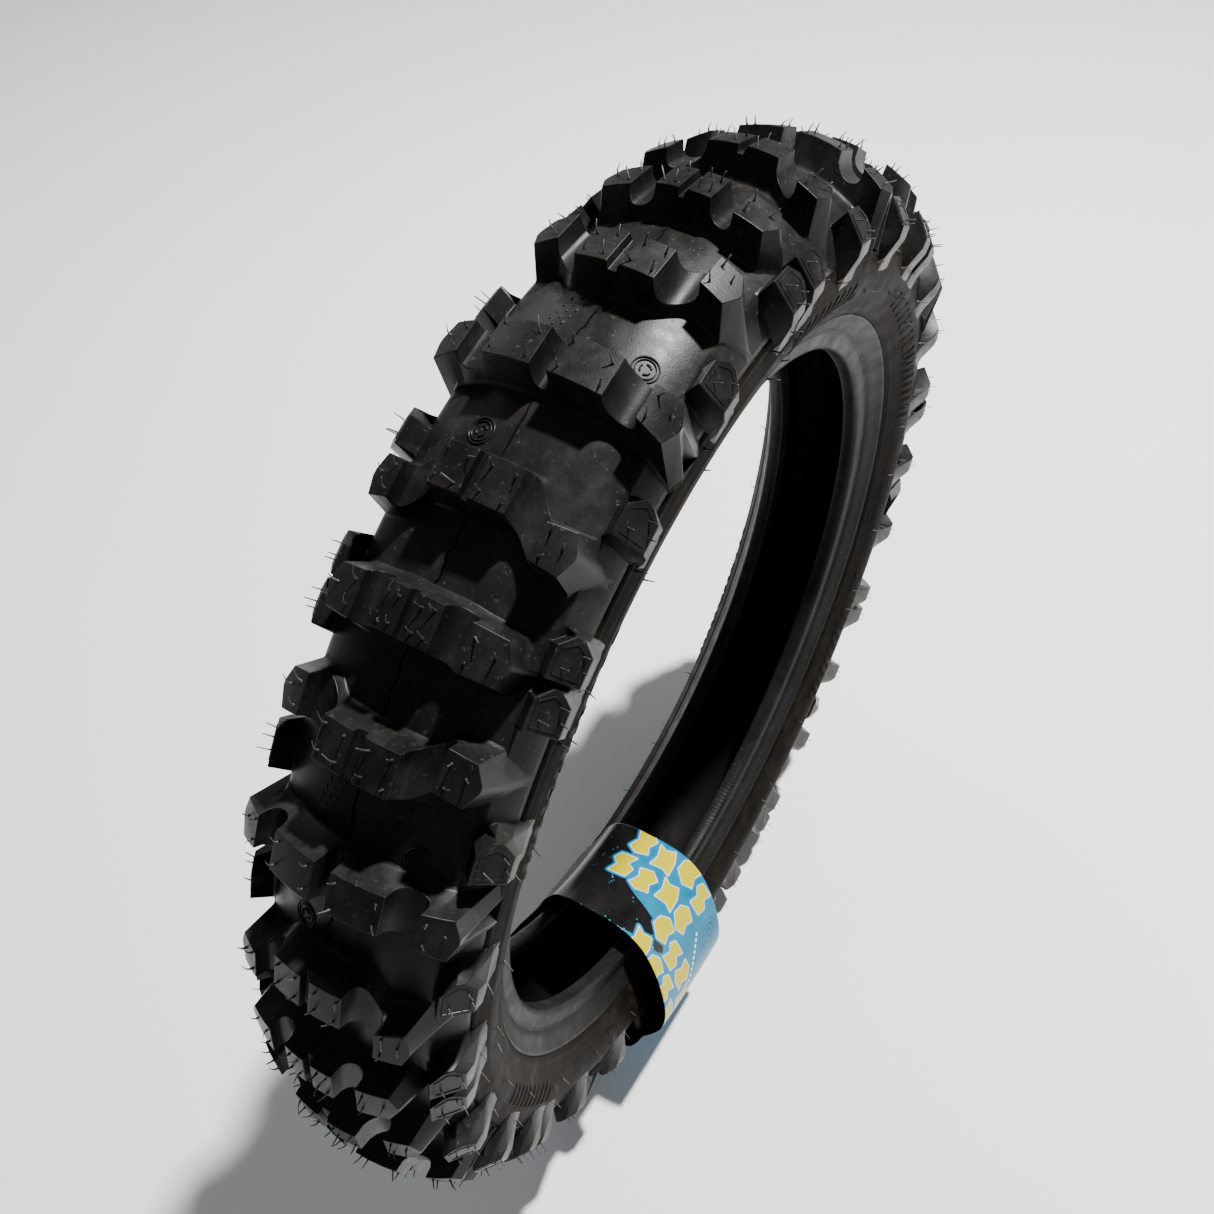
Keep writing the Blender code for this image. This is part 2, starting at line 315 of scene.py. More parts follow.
SHOULDER_LINE = curve_through(
    [(0.0475, 0.3066), (0.0500, 0.3015), (0.0525, 0.2960), (0.0545, 0.2905)], 9)
SKIN = [(y, arc_r(y, KNOB)) for y in np.linspace(0.0, 0.0470, 20)] + SHOULDER_LINE
SIDE = curve_through(
    [(0.0545, 0.2903), (0.0561, 0.2840), (0.0568, 0.2780), (0.0556, 0.2710),
     (0.0522, 0.2630), (0.0484, 0.2562), (0.0452, 0.2516)], 34)
BEAD = [
    (0.0248, 0.2404), (0.0240, 0.2370), (0.0239, 0.2310), (0.0240, 0.2290), (0.0246, 0.2279),
    (0.0260, 0.2274), (0.0290, 0.2274), (0.0325, 0.2276), (0.0343, 0.2284), (0.0354, 0.2300),
    (0.0360, 0.2325), (0.0362, 0.2350), (0.0364, 0.2374), (0.0366, 0.2386), (0.0361, 0.2391),
    (0.0366, 0.2397), (0.0377, 0.2406), (0.0388, 0.2420), (0.0399, 0.2438), (0.0411, 0.2458),
    (0.0425, 0.2478), (0.0440, 0.2498), (0.0452, 0.2512)]
BEAD_INSIDE = [
    (0.0444, 0.2516), (0.0418, 0.2484), (0.0388, 0.2438), (0.0352, 0.2400), (0.0347, 0.2300),
    (0.0335, 0.2286), (0.0262, 0.2284), (0.0246, 0.2292), (0.0246, 0.2402)]
LINER = [
    (0.0, 0.3108), (0.015, 0.3080), (0.030, 0.3046), (0.040, 0.2988), (0.0472, 0.2930),
    (0.0508, 0.2870), (0.0516, 0.2800), (0.0490, 0.2700), (0.0448, 0.2630), (0.0370, 0.2543),
    (0.0300, 0.2466), (0.0245, 0.2405)]

# Half a row of knobs, in y: the middle block's inner and outer edges, and the side knob's inner
# edge, outer edge and point. Depths of the middle groove and of the saddle between the knobs.
# How far the side knob's inner and outer edges lie ahead of the row, and their length ratios.
Row = namedtuple("Row", "inner outer groove side_in side_out point saddle "
                        "ahead_in ratio_in ahead_out ratio_out")
KINDS = (
    Row(0.0024, 0.0185, 0.0040, 0.0335, 0.0450, 0.0481, 0.0100, 2.2, 0.85, 2.2, 1.0),
    Row(0.0022, 0.0136, 0.0040, 0.0254, 0.0400, 0.0440, 0.0095, 0.3, 1.05, 0.4, 1.0),
    Row(0.0030, 0.0190, 0.0040, 0.0343, 0.0457, 0.0497, 0.0110, -1.7, 0.97, -1.3, 1.0),
    Row(0.0042, 0.0285, 0.0120, 0.0426, 0.0546, 0.0579, 0.0095, 0.3, 0.90, 0.6, 1.1),
)
REACH = 1.65                # angle from a knob's middle to its front or back
WIDE_GROOVE = 0.008         # a middle groove deeper than this is a rounded channel
POINT_RATIO = 0.12          # length ratio at the top of a side knob's point
POINT_FOOT = 0.62           # and at its foot
FOOT = (0.0024, -0.0005), (0.0009, 0.0006), (0.0001, 0.0021)    # fillet round a knob: out and up
END_FOOT = (0.0, 0.0021), (0.0008, 0.0006), (0.0023, -0.0005)   # fillet at a row's ends
TREAD_EDGE = 0.0543
FACE = (0.0526, 0.3170), (0.0631, 0.3034)   # a shoulder knob's face, inner edge to outer edge
FACE_RADIUS = 0.31          # radius at which lengths on that face turn into angles
SHOULDER_HALF = 0.0094      # half its length along the tread


# Tread

def saddle(y0, y1, depth, ahead0, ahead1, ratio0, ratio1, count=10):
    """Stations down a rounded channel across the bar and up again."""
    out = []
    for i in range(1, count):
        phi = math.pi * i / count
        t = 0.5 - 0.5 * math.cos(phi)
        u = smooth_step(t)
        out.append((y0 + (y1 - y0) * t, depth * math.sin(phi) ** 0.55,
                    ahead0 + (ahead1 - ahead0) * u, ratio0 + (ratio1 - ratio0) * u))
    return out


def half_stations(row):
    """Half a row as stations: y, drop below the knob tops, angle ahead and length ratio."""
    out = [(y, 0.0, 0.0, 1.0) for y in np.linspace(row.inner, row.outer, 4)]
    out += saddle(row.outer, row.side_in, row.saddle, 0.0, row.ahead_in, 1.0, row.ratio_in)
    for t in np.linspace(0.0, 1.0, 4):
        out.append((row.side_in + (row.side_out - row.side_in) * t, 0.0,
                    row.ahead_in + (row.ahead_out - row.ahead_in) * t,
                    row.ratio_in + (row.ratio_out - row.ratio_in) * t))
    out.append((row.point, 0.0, row.ahead_out, POINT_RATIO))
    return out


def groove_stations(row):
    y, depth = row.inner, row.groove
    if depth > WIDE_GROOVE:
        return saddle(-y, y, depth, 0.0, 0.0, 1.0, 1.0, 8)
    steps = (-y + 0.0003, 0.0012), (-y + 0.0012, 0.0014), (-y + 0.0014, depth), (y - 0.0004, depth)
    return [(at_y, drop, 0.0, 1.0) for at_y, drop in steps]


def section(y, top, ahead, half_top, half_foot, middle):
    """Ring of points round the bar at one y, with a fillet at the foot."""
    floor = ground(y)
    rise = max(top - floor, 0.0)
    side = [(half_foot + out, min(up, rise)) for out, up in FOOT] + [(half_top, top - floor)]
    loop = [(-s, h) for s, h in side] + [(s, h) for s, h in reversed(side)]
    return [at(y, floor + h, middle + ahead + math.degrees(s / CROWN)) for s, h in loop]


def knob_bar(verts, faces, index):
    """One row of knobs across the tread, from side knob to side knob."""
    row = KINDS[index % 4]
    half = half_stations(row)
    middle = FIRST_ROW + STEP * index
    stations = [(-y, d, a, w) for y, d, a, w in reversed(half)] + groove_stations(row) + half
    loops = []
    length = math.radians(REACH) * CROWN
    last = len(stations) - 1

    def cap(station, order):
        y, _, ahead, ratio = station
        side = math.copysign(1.0, y)
        for out, rise in END_FOOT[::order]:
            end_y = side * min(abs(y) + (DRAFT + out), TREAD_EDGE)
            loops.append(section(end_y, ground(end_y) + rise, ahead,
                                 length * ratio, length * ratio + 0.0004, middle))

    cap(stations[0], -1)
    for i, (y, drop, ahead, ratio) in enumerate(stations):
        half_top = length * ratio + DRAFT * drop / KNOB
        half_foot = length * POINT_FOOT if i in (0, last) else length * ratio + DRAFT
        loops.append(section(y, arc_r(y, drop), ahead, half_top, half_foot, middle))
    cap(stations[-1], 1)
    loft(verts, faces, loops)


def shoulder_section(inner, outer, reach):
    """Outline across a shoulder knob whose face runs from inner to outer, both from 0 to 1.

    reach, also from 0 to 1, is how far its buttress runs down the sidewall.
    """
    (top_y, top_r), (end_y, end_r) = FACE
    (y0, r0), (y1, r1) = [(top_y + (end_y - top_y) * t, top_r + (end_r - top_r) * t)
                          for t in (inner, outer)]
    foot = y0 - 0.0062
    low = 0.277 - 0.007 * reach
    return [(foot - 0.0024, ground(foot - 0.0024) - 0.0005), (foot, ground(foot) + 0.0010),
            (y0, r0), (y1, r1), (y1 - 0.0002, r1 - 0.0060),
            (0.0575 + 0.0008 * reach, 0.2890 - 0.003 * reach), (side_y(low) - 0.0005, low)]


def shoulder_knob(verts, faces, middle, side):
    """House-shaped knob on the shoulder, its roof pointing back along the tread."""
    half = SHOULDER_HALF
    flat = [(y, ground(y) - 0.0006) for y in (0.0430, 0.0460, 0.0500, 0.0530)]
    flat += [(side_y(r) - 0.0006, r) for r in (0.2900, 0.2840, 0.2740)]
    wide = shoulder_section(0.0, 1.0, 1.0)
    roof = shoulder_section(0.38, 0.62, 0.5)
    stations = [(-half - 0.0034, flat), (-half - 0.0024, mixed(flat, wide, 0.10)), (-half, wide),
                (half * 0.42, wide), (half, roof),
                (half + 0.0024, mixed(flat, roof, 0.10)), (half + 0.0034, flat)]
    loops = []
    for s, outline in stations:
        angle = middle - math.degrees(s / FACE_RADIUS)
        loops.append([at(side * y, r, angle) for y, r in outline])
    loft(verts, faces, loops)


def raised_outline(verts, faces, middle, side):
    """Thin raised line inset from the edges of a shoulder knob's face."""
    half = SHOULDER_HALF * 0.74
    corners = [(-half, 0.15), (-half, 0.86), (half * 0.50, 0.86), (half, 0.50), (half * 0.50, 0.15)]
    (top_y, top_r), (end_y, end_r) = FACE
    span = math.hypot(end_y - top_y, end_r - top_r)
    out_y = (top_r - end_r) / span
    out_r = (end_y - top_y) / span

    def point(s, t, lift):
        y = top_y + (end_y - top_y) * t + lift * out_y
        r = top_r + (end_r - top_r) * t + lift * out_r
        return at(side * y, r, middle - math.degrees(s / FACE_RADIUS))

    for k, (s0, t0) in enumerate(corners):
        s1, t1 = corners[(k + 1) % len(corners)]
        ds, dt = (t1 - t0) * span, -(s1 - s0)
        norm = math.hypot(ds, dt)
        base = len(verts)
        for lift, wide in ((-0.0003, 0.0005), (0.0003, 0.0003)):
            for s, t, sign in ((s0, t0, -1), (s1, t1, -1), (s1, t1, 1), (s0, t0, 1)):
                over = sign * wide * dt / norm / span
                verts.append(point(s + sign * wide * ds / norm, t + over, lift))
        faces.append((base + 4, base + 5, base + 6, base + 7))
        for i in range(4):
            j = (i + 1) % 4
            faces.append((base + i, base + j, base + 4 + j, base + 4 + i))


def tread(mat):
    back = [(y * 0.99, r - 0.0018) for y, r in SKIN[:-1]] + [(0.0533, 0.2905)]
    base = lathe("tread_base", mirrored(SKIN) + mirrored(back)[::-1], mat)
    verts, faces = [], []
    for index in range(ROWS):
        knob_bar(verts, faces, index)
    bars = bevelled(outward(make("tread_knobs", verts, faces, mat)), 0.0007, 28.0)
    verts, faces = [], []
    lines, line_faces = [], []
    for middle, side in shoulder_places():
        shoulder_knob(verts, faces, middle, side)
        raised_outline(lines, line_faces, middle, side)
    shoulders = bevelled(outward(make("shoulder_knobs", verts, faces, mat)), 0.0006, 30.0)
    outlines = outward(make("shoulder_outlines", lines, line_faces, mat, smooth=False))
    return [base, bars, shoulders, outlines]


# Moulding marks on the tread

PIP = 0.0011, 0.0007, 0.00035                   # half sizes along the tread, across it and up
RING_PLACES = (-0.0294, 26.7), (0.0169, 36.2)   # y, and angle from a pattern's first row
PARTING_Y = 0.0027
PARTING_STEPS = 1800


def ellipsoid(verts, faces, centre, along, across, up, sizes):
    """Upper half of an ellipsoid."""
    start = len(verts)
    n = 10
    rings = ((1.0, 0.0), (0.86, 0.5), (0.5, 0.86))
    for radius, height in rings:
        for k in range(n):
            a = math.tau * k / n
            verts.append(centre + along * (sizes[0] * radius * math.cos(a))
                         + across * (sizes[1] * radius * math.sin(a)) + up * (sizes[2] * height))
    verts.append(centre + up * sizes[2])
    for i in range(2):
        for k in range(n):
            m = (k + 1) % n
            a = start + i * n
            faces.append((a + k, a + m, a + n + m, a + n + k))
    for k in range(n):
        faces.append((start + 2 * n + k, start + 2 * n + (k + 1) % n, start + 3 * n))
    faces.append(tuple(start + k for k in reversed(range(n))))


def frame_at(y, degrees):
    """Place on the undertread with its directions along the tread, across it and outwards."""
    r = ground(y)
    lean = math.atan2(y, r - CENTRE)
    a = math.radians(degrees)
    radial = Vector((math.cos(a), 0.0, math.sin(a)))
    up = radial * math.cos(lean) + Vector((0.0, math.sin(lean), 0.0))
    along = Vector((-math.sin(a), 0.0, math.cos(a)))
    return at(y, r, degrees), along, up.cross(along), up


def ring_mark(verts, faces, y, degrees, radius, width, start_turn=0.0, turn=math.tau):
    """Raised ring or part of one, with rounded-off sides."""
    centre, along, across, up = frame_at(y, degrees)
    count = max(int(36 * turn / math.tau), 4)
    closed = turn > math.tau - 0.01
    first = len(verts)
    edges = (-width, -0.0004), (-width * 0.6, 0.0006), (width * 0.6, 0.0006), (width, -0.0004)
    for k in range(count + (0 if closed else 1)):
        a = start_turn + turn * k / count
        out = along * math.cos(a) + across * math.sin(a)
        for dr, h in edges:
            p = centre + out * (radius + dr)
            sag = (p - centre).dot(across) ** 2 / 0.17 + (p - centre).dot(along) ** 2 / 0.65
            verts.append(p + up * (h - sag))
    for k in range(count):
        a = first + k * 4
        b = first + (k + 1) % (count if closed else count + 1) * 4
        for i in range(3):
            faces.append((a + i, a + i + 1, b + i + 1, b + i))


def moulding_marks(mat):
    """Fields of small pips and plain ring marks between the rows."""
    verts, faces = [], []
    for group in range(ROWS // 4):
        start = FIRST_ROW + PATTERN * group
        for column in range(3):
            for i in range(6):
                y = 0.0085 + 0.0042 * column + 0.0011 * i
                place = frame_at(y, start + 22.9 + 0.72 * i + 0.2 * column)
                ellipsoid(verts, faces, *place, PIP)
        for y, degrees in RING_PLACES:
            ring_mark(verts, faces, y, start + degrees, 0.0060, 0.00045)
            ring_mark(verts, faces, y, start + degrees, 0.0046, 0.00030)
            for k in range(3):
                turned = k * math.tau / 3
                ring_mark(verts, faces, y, start + degrees, 0.0024, 0.00050, turned, 1.35)
    return outward(make("moulding_marks", verts, faces, mat))


def parting_line():
    """Jagged ridge that the mould's join leaves round the undertread, coloured near-black as
    painted shadow.
    """
    verts, faces = [], []
    drift, aim = 0.0, 0.0
    for i in range(PARTING_STEPS):
        if i % 4 == 0:
            aim = DRAWS.uniform(-0.0010, 0.0010)
        drift += (aim - drift) * 0.7
        centre, _, across, up = frame_at(PARTING_Y + drift, 360.0 * i / PARTING_STEPS)
        width = 0.00030 + 0.00022 * DRAWS.random()
        foot = width * 1.6
        ridge = (-foot, -0.0003), (-width, 0.00025), (width, 0.00025), (foot, -0.0003)
        for offset, height in ridge:
            verts.append(centre + across * offset + up * height)
    for i in range(PARTING_STEPS):
        j = (i + 1) % PARTING_STEPS
        for k in range(3):
            faces.append((i * 4 + k, i * 4 + k + 1, j * 4 + k + 1, j * 4 + k))
    # Near-black, barely shiny colour: painted shadow along the ridge.
    dark = plain("parting_painted_shadow", (0.001, 0.001, 0.001), (0.003, 0.003, 0.003), 0.85)
    dark.node_tree.nodes["Principled BSDF"].inputs["Specular IOR Level"].default_value = 0.05
    return make("parting_line", verts, faces, dark)


# Vent hairs left by the mould

HAIR_SINK = 0.0004
HOOK_FROM = 0.45            # how far up a hair its hook starts
FACE_HAIRS = (0.25, 0.7), (0.75, -0.6), (0.95, 0.5)   # place across a shoulder face, and angle


def hair(verts, faces, root, up, lean, length, thick, hook, droop):
    """Thin hair, thicker at its root, that leans over by droop and then hooks."""
    side = up.cross(lean).normalized()
    count = 6
    first = len(verts)
    for i in range(count + 1):
        t = i / count
        past = max(t - HOOK_FROM, 0.0)
        bend = t * droop + hook * past * 1.6
        height = length * (t - hook * past ** 2 * 0.9) - HAIR_SINK
        middle = root + up * height + lean * (length * bend)
        radius = thick * (1.9 - 3.5 * t if t < 0.25 else 1.02 - 0.5 * (t - 0.25))
        for k in range(6):
            a = math.tau * k / 6
            verts.append(middle + (side * math.cos(a) + lean * math.sin(a)) * radius)
    for i in range(count):
        for k in range(6):
            m = (k + 1) % 6
            a = first + i * 6
            faces.append((a + k, a + m, a + 6 + m, a + 6 + k))
    faces.append(tuple(first + count * 6 + k for k in range(6)))
    faces.append(tuple(first + k for k in reversed(range(6))))


def top_hair(verts, faces, y, degrees, hooked):
    _, along, across, up = frame_at(y, degrees)
    root = at(y, arc_r(y, 0.0), degrees)
    lean = (along * DRAWS.uniform(-1.0, 0.1) + across * DRAWS.uniform(-0.5, 0.5)).normalized()
    length = DRAWS.uniform(0.0038, 0.0060)
    droop = DRAWS.uniform(0.1, 0.6)
    hair(verts, faces, root, up, lean, length, 0.00042, 0.5 if hooked else 0.1, droop)


def side_hair(verts, faces, y, r, side, degrees):
    a = math.radians(degrees)
    radial = Vector((math.cos(a), 0.0, math.sin(a)))
    along = Vector((-math.sin(a), 0.0, math.cos(a)))
    up = (Vector((0.0, side, 0.0)) + radial * DRAWS.uniform(0.1, 0.6)).normalized()
    lean = (along * DRAWS.uniform(-1.0, 1.0) + radial * 0.3).normalized()
    length = DRAWS.uniform(0.0048, 0.0074)
    hair(verts, faces, at(side * y, r, degrees), up, lean, length, 0.00038, 0.0, 0.12)


def vent_hairs(mat):
    verts, faces = [], []
    for index in range(ROWS):
        row = KINDS[index % 4]
        middle = FIRST_ROW + STEP * index
        stands_on_floor = abs((middle + 180.0) % 360.0 - 90.0) < 6.0
        if stands_on_floor:
            continue
        knob = middle + (row.ahead_in + row.ahead_out) / 2
        for side in (-1, 1):
            for y in (row.inner + 0.0033, row.outer - 0.0027):
                for ahead in (-0.95, 1.05):
                    degrees = middle + ahead + DRAWS.uniform(-0.15, 0.15)
                    top_hair(verts, faces, side * y, degrees, side > 0)
            for y, ahead in ((row.side_in + 0.003, 0.9), (row.side_in + 0.003, -0.9),
                             (row.side_out - 0.002, -0.2)):
                top_hair(verts, faces, side * y, knob + ahead, side > 0)
    for middle, side in shoulder_places():
        for t, ahead in FACE_HAIRS:
            side_hair(verts, faces, 0.0528 + 0.0085 * t, 0.3150 - 0.0113 * t, side, middle + ahead)
        for r in (0.2835, 0.2680):
            side_hair(verts, faces, side_y(r), r, side, middle + DRAWS.uniform(2.0, 3.4))
    return outward(make("vent_hairs", verts, faces, mat))


# Sidewalls and beads

FINE_LINES = (0.2545, 0.0007, 0.0006), (0.2880, 0.0008, 0.0006)   # radius, width and height
BAND_FROM, BAND_TO, BAND_RISE = 0.2625, 0.2790, 0.00035           # raised band on the sidewall
RIBS = 190.0                # ribs round the whole tyre, of which only some are there
TOE_RIDGES = 420.0
# Groups of blocks: first angle, how many, inner and outer radius, and skew
BLOCKS = ((228.0, 9, 0.2630, 0.2745, 0.8), (318.0, 7, 0.2640, 0.2730, -0.5),
          (20.0, 11, 0.2635, 0.2740, 0.0), (120.0, 8, 0.2640, 0.2735, 0.6))


def side_name(side):
    return "left" if side > 0 else "right"


def sidewall(side, mat):
    inner = [(y - 0.0020, r) for y, r in SIDE]
    outline = [(side * y, r) for y, r in SIDE + inner[::-1]]
    count = len(SIDE)

    def relief(y, r, k, degrees):
        """Two fine raised lines, a stepped band and shallow ribs round the widest part."""
        if k >= count:
            return y, r
        lift = 0.0
        for line, width, height in FINE_LINES:
            lift += height * math.exp(-((r - line) / width) ** 2)
        band = smooth_step((r - BAND_FROM) / 0.0012) * smooth_step((BAND_TO - r) / 0.0012)
        lift += BAND_RISE * band
        group = (degrees % 60.0) / 60.0
        if 0.12 < group < 0.42 and 0.2650 < r < 0.2760:
            wave = math.sin(math.radians(degrees) * RIBS + (r - 0.27) * 400.0)
            lift += 0.0007 * smooth_step(wave * 3.0)
        return y + side * lift, r

    return lathe("sidewall_skin_" + side_name(side), outline, mat, 1440, relief)


def bead(side, mat):
    outline = [(side * y, r) for y, r in BEAD + BEAD_INSIDE]

    def relief(y, r, k, degrees):
        """Fine radial ridges over the toe."""
        if 3 <= k <= 8:
            ridge = smooth_step(2.0 * math.sin(math.radians(degrees) * TOE_RIDGES))
            return y, r - 0.00010 * ridge
        return y, r

    return lathe("bead_skin_" + side_name(side), outline, mat, 1800, relief)


def badge_blocks(side, mat):
    """Groups of plain raised blocks on the sidewall, in place of lettering."""
    verts, faces = [], []
    for start, count, r0, r1, skew in BLOCKS:
        for i in range(count):
            width = 0.9 if i % 3 else 1.5
            middle = start + i * 2.5
            corners = [(r0, -width / 2), (r0, width / 2),
                       (r1, width / 2 + skew), (r1, -width / 2 + skew)]
            base = len(verts)
            for lift, shrink in ((-0.0006, 0.0), (0.0009, 0.08)):
                for r, ahead in corners:
                    r = r + (0.0003 if r < 0.269 else -0.0003) * shrink * 10
                    ahead = ahead * (1.0 - shrink)
                    verts.append(at(side * (side_y(r) + lift), r, middle + ahead))
            faces.append((base + 4, base + 5, base + 6, base + 7))
            faces.append((base + 3, base + 2, base + 1, base))
            for k in range(4):
                m = (k + 1) % 4
                faces.append((base + k, base + m, base + 4 + m, base + 4 + k))
    blocks = make("side_blocks_" + side_name(side), verts, faces, mat)
    return bevelled(outward(blocks), 0.0003, 30.0)


def liner(mat):
    inner = mirrored(LINER)
    outer = mirrored([(y * 1.004 + 0.0002, r + 0.0004) if r > 0.28 else (y + 0.0004, r - 0.0002)
                      for y, r in LINER])
    return lathe("liner_skin", inner + outer[::-1], mat, 360)


# Printed band

# The band's route round the section, from the tread by the near side to the opening and back
LOOP = (
    (0.0000, 0.3400), (-0.0250, 0.3369), (-0.0450, 0.3292), (-0.0570, 0.3225),
    (-0.0615, 0.3140), (-0.0645, 0.3045), (-0.0712, 0.2945), (-0.0766, 0.2840),
    (-0.0779, 0.2740), (-0.0762, 0.2620), (-0.0700, 0.2460), (-0.0600, 0.2290),
    (-0.0460, 0.2140), (-0.0300, 0.2068), (-0.0160, 0.2050), (0.0000, 0.2052),
    (0.0180, 0.2062), (0.0300, 0.2105), (0.0372, 0.2200), (0.0420, 0.2330),
    (0.0478, 0.2460), (0.0540, 0.2590), (0.0598, 0.2730), (0.0645, 0.2870),
    (0.0664, 0.3000), (0.0615, 0.3160), (0.0450, 0.3292), (0.0250, 0.3369), (0.0000, 0.3400))
BAND_ANGLE = -111.1
BAND_HALF = 0.048           # half the band's width
CARD_HALF = 0.00022         # half its thickness
ACROSS = 84
AROUND = 380

# The print is laid out in (u, v): u runs round the section from the point in the opening where
# y is PRINT_ZERO, v across the band. Outlines of the shapes are in millimetres.
PRINT_ZERO = -0.030
SHAPES = (
    ((-9, -8), (-2, -12), (8, -9), (5, -2), (9, 6), (2, 12), (-8, 9), (-5, 1)),
    ((-8, -11), (3, -9), (9, -12), (8, 2), (4, 11), (-3, 7), (-9, 10), (-6, -1)),
    ((-9, -4), (0, -12), (9, -7), (6, 1), (9, 9), (-1, 12), (-8, 6)),
    ((-7, -12), (7, -10), (9, 0), (3, 3), (7, 12), (-6, 10), (-9, 3), (-4, -2)),
)
# Lines of shapes, in millimetres: v, first u, and how many
PRINT_LINES = (37.0, -30.0, 4), (9.5, -34.0, 4), (-17.5, 22.0, 4), (-44.5, 15.0, 4)
SHAPE_STEP = 21.5
SWIRL = 0.066, 0.030
SWIRL_RADIUS = 0.014
DOTS = 9
DOT_RADIUS = 0.0014
WHITE_EDGE = 0.0008         # past a shape, its white outline ends
HALO = 0.0026               # and so does the cyan round it

CYAN = (0.000, 0.115, 0.215), (0.000, 0.175, 0.300)
CYAN_RING = 0.000, 0.040, 0.120
CYAN_HALO = 0.000, 0.150, 0.300
CYAN_DROP = 0.05, 0.36, 0.48
BLACK = (0.004, 0.004, 0.005), (0.012, 0.011, 0.010)
WHITE = 0.50, 0.60, 0.60
WHITE_DOT = 0.70, 0.80, 0.82
YELLOW = 0.46, 0.385, 0.000


def polygon_distance(u, v, corners):
    """Signed distance, negative inside, from every (u, v) to a polygon."""
    best = np.full(u.shape, 1e9)
    inside = np.zeros(u.shape, bool)
    for (x0, y0), (x1, y1) in zip(corners, corners[1:] + corners[:1]):
        dx, dy = x1 - x0, y1 - y0
        t = np.clip(((u - x0) * dx + (v - y0) * dy) / (dx * dx + dy * dy), 0.0, 1.0)
        best = np.minimum(best, np.hypot(u - x0 - t * dx, v - y0 - t * dy))
        crosses = (y0 > v) != (y1 > v)
        if dy:
            inside ^= crosses & (u < x0 + (v - y0) * dx / dy)
    return np.where(inside, -best, best)


def print_shapes():
    """Chunky abstract shapes in two pairs of lines round the band, the second pair further on."""
    out = []
    for line, (v0, u0, count) in enumerate(PRINT_LINES):
        for i in range(count):
            shape = SHAPES[(i + line * 3) % len(SHAPES)]
            u = u0 + SHAPE_STEP * i
            v = v0 + 2.0 * (-1) ** i
            out.append([((u + x) / 1000.0, (v + y * 0.95) / 1000.0) for x, y in shape])
    return out


def print_values(u, v):
    """What is printed at each (u, v). Each value is negative or small where its mark is."""
    shapes = np.full(u.shape, 1e9)
    for corners in print_shapes():
        shapes = np.minimum(shapes, polygon_distance(u, v, corners))
    dots = np.full(u.shape, 1e9)
    for i in range(DOTS):
        off = np.hypot(u - 0.052 - 0.0034 * i, v - 0.016 + 0.0028 * i)
        dots = np.minimum(dots, off - DOT_RADIUS)
    return {
        "shapes": shapes,
        "field": -0.028 + 0.062 * np.exp(-((v + 0.030) / 0.018) ** 2) - u,
        "dots": dots,
        "swirl": np.hypot(u - SWIRL[0], v - SWIRL[1]),
    }


def band_route():
    """Even points round the section, their outward normals and their places u."""
    pts = np.array(curve_through(LOOP, AROUND + 1)[:-1])
    step = np.hypot(*(np.roll(pts, -1, axis=0) - pts).T)
    along = np.concatenate([[0.0], np.cumsum(step)[:-1]])
    zero = int(np.argmin(np.abs(pts[:, 0] - PRINT_ZERO) + (pts[:, 1] > 0.25)))
    ahead = np.roll(pts, -1, axis=0) - np.roll(pts, 1, axis=0)
    normals = np.stack([-ahead[:, 1], ahead[:, 0]], 1)
    normals /= np.hypot(*normals.T)[:, None]
    if np.dot(normals[0], (0.0, 1.0)) < 0:
        normals = -normals
    return pts, normals, along[zero] - along


def printed_band(mat):
    pts, normals, places = band_route()
    verts, u, v = [], [], []
    for lift in (CARD_HALF, -CARD_HALF):
        for k in range(len(pts)):
            y, r = pts[k] + normals[k] * lift
            for i in range(ACROSS + 1):
                s = BAND_HALF * (2.0 * i / ACROSS - 1.0)
                verts.append(at(y, r, BAND_ANGLE + math.degrees(s / r)))
                u.append(places[k])
                v.append(s)
    n = ACROSS + 1
    total = len(pts) * n
    faces = []
    for k in range(len(pts)):
        a = k * n
        b = (k + 1) % len(pts) * n
        for i in range(ACROSS):
            faces.append((a + i, a + i + 1, b + i + 1, b + i))
            faces.append((total + a + i, total + b + i, total + b + i + 1, total + a + i + 1))
        for i in (0, ACROSS):
            faces.append((a + i, b + i, total + b + i, total + a + i))
    band = outward(make("printed_band", verts, faces, mat))
    u, v = np.array(u), np.array(v)
    inside = np.arange(len(u)) >= total
    for name, values in print_values(u, v).items():
        values = np.where(inside, 1.0, values)
        layer = band.data.attributes.new(name, "FLOAT", "POINT")
        layer.data.foreach_set("value", values.astype(np.float32))
    place = np.stack([u, v, inside * 1.0], 1).astype(np.float32)
    layer = band.data.attributes.new("place", "FLOAT_VECTOR", "POINT")
    layer.data.foreach_set("vector", place.ravel())
    return band


def attribute(nodes, name, output="Fac"):
    node = nodes.new("ShaderNodeAttribute")
    node.attribute_name = name
    return node.outputs[output]


def below(nodes, links, value, limit, soft=0.0002):
    """1 where value is below limit, with a sharp but smooth edge."""
    node = nodes.new("ShaderNodeMapRange")
    links.new(value, node.inputs["Value"])
    node.inputs["From Min"].default_value = limit - soft
    node.inputs["From Max"].default_value = limit + soft
    node.inputs["To Min"].default_value = 1.0
    node.inputs["To Max"].default_value = 0.0
    return node.outputs["Result"]


def droplets(nodes, links, place, field):
    """Scattered cyan drops on the black, near the edge of the cyan field."""
    cells = nodes.new("ShaderNodeTexVoronoi")
    cells.inputs["Scale"].default_value = 330.0
    links.new(place, cells.inputs["Vector"])
    drop = below(nodes, links, cells.outputs["Distance"], 0.24, 0.05)
    sparse = ramp(nodes, links, noise(nodes, links, place, 70.0, 2.0), (0.52, 0.0), (0.60, 1.0))
    near = below(nodes, links, field, 0.030, 0.012)
    return maths(nodes, links, "MULTIPLY", maths(nodes, links, "MULTIPLY", drop, sparse), near)


